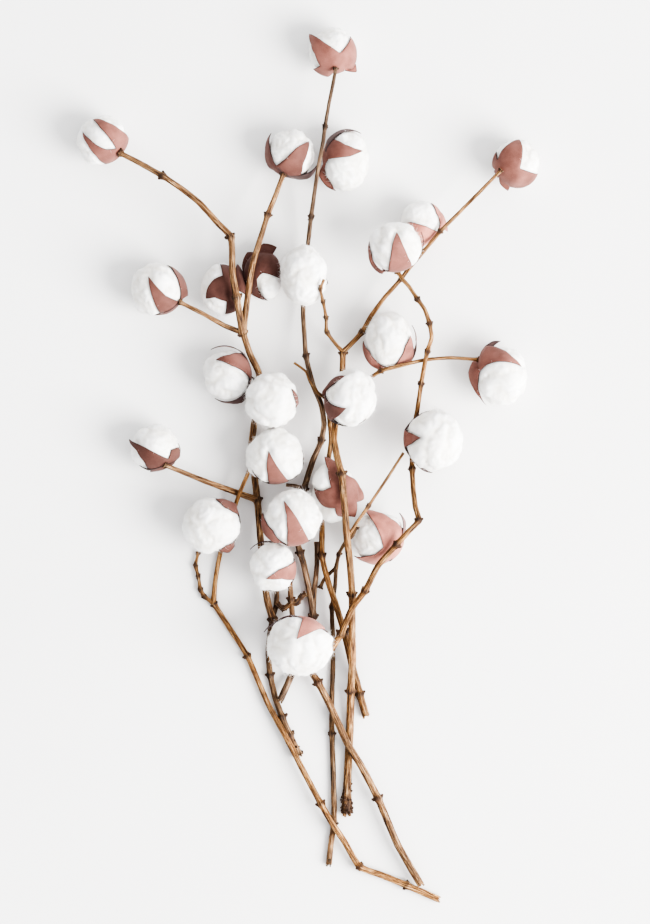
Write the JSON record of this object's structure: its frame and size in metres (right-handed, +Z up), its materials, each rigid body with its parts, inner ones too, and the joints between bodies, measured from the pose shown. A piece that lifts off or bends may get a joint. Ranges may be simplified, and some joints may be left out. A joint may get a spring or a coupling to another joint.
{
  "type": "cotton stem bunch",
  "caption": "Loose bunch of cut brown twigs lying flat, with white cotton bolls in dusty pink card husks on their tips and sides.",
  "frame": {"origin": "centre of the bunch's box in plan, on the surface that it lies on", "axes": "+Y along the stems from their cut ends towards the highest boll, +Z up from the surface, +X to the right seen from above"},
  "size_m": [0.3623, 0.6974, 0.0629],
  "materials": {
    "bark": "matt dry bark, golden brown with darker leaf nodes",
    "husk_card": "matt dusty pink card with grey cut edges",
    "cotton_wool": "loose white cotton wool with a fuzzy edge"
  },
  "bodies": {
    "root": {"stem_main": "bark", "stem_lower_left": "bark", "stem_tall": "bark", "stem_centre": "bark", "stem_right": "bark", "stem_inner": "bark", "stem_knobby": "bark", "stem_back": "bark", "stem_stub": "bark", "husk_01": "husk_card", "husk_02": "husk_card", "husk_03": "husk_card", "husk_04": "husk_card", "husk_05": "husk_card", "husk_06": "husk_card", "husk_07": "husk_card", "husk_08": "husk_card", "husk_09": "husk_card", "husk_10": "husk_card", "husk_11": "husk_card", "husk_12": "husk_card", "husk_13": "husk_card", "husk_14": "husk_card", "husk_15": "husk_card", "husk_16": "husk_card", "husk_17": "husk_card", "husk_18": "husk_card", "husk_19": "husk_card", "husk_20": "husk_card", "husk_21": "husk_card", "husk_22": "husk_card", "husk_23": "husk_card", "husk_24": "husk_card", "husk_25": "husk_card", "cotton_01": "cotton_wool", "cotton_02": "cotton_wool", "cotton_03": "cotton_wool", "cotton_04": "cotton_wool", "cotton_05": "cotton_wool", "cotton_06": "cotton_wool", "cotton_07": "cotton_wool", "cotton_08": "cotton_wool", "cotton_09": "cotton_wool", "cotton_10": "cotton_wool", "cotton_11": "cotton_wool", "cotton_12": "cotton_wool", "cotton_13": "cotton_wool", "cotton_14": "cotton_wool", "cotton_15": "cotton_wool", "cotton_16": "cotton_wool", "cotton_17": "cotton_wool", "cotton_18": "cotton_wool", "cotton_19": "cotton_wool", "cotton_20": "cotton_wool", "cotton_21": "cotton_wool", "cotton_22": "cotton_wool", "cotton_23": "cotton_wool", "cotton_24": "cotton_wool", "cotton_25": "cotton_wool"}
  },
  "joints": []
}
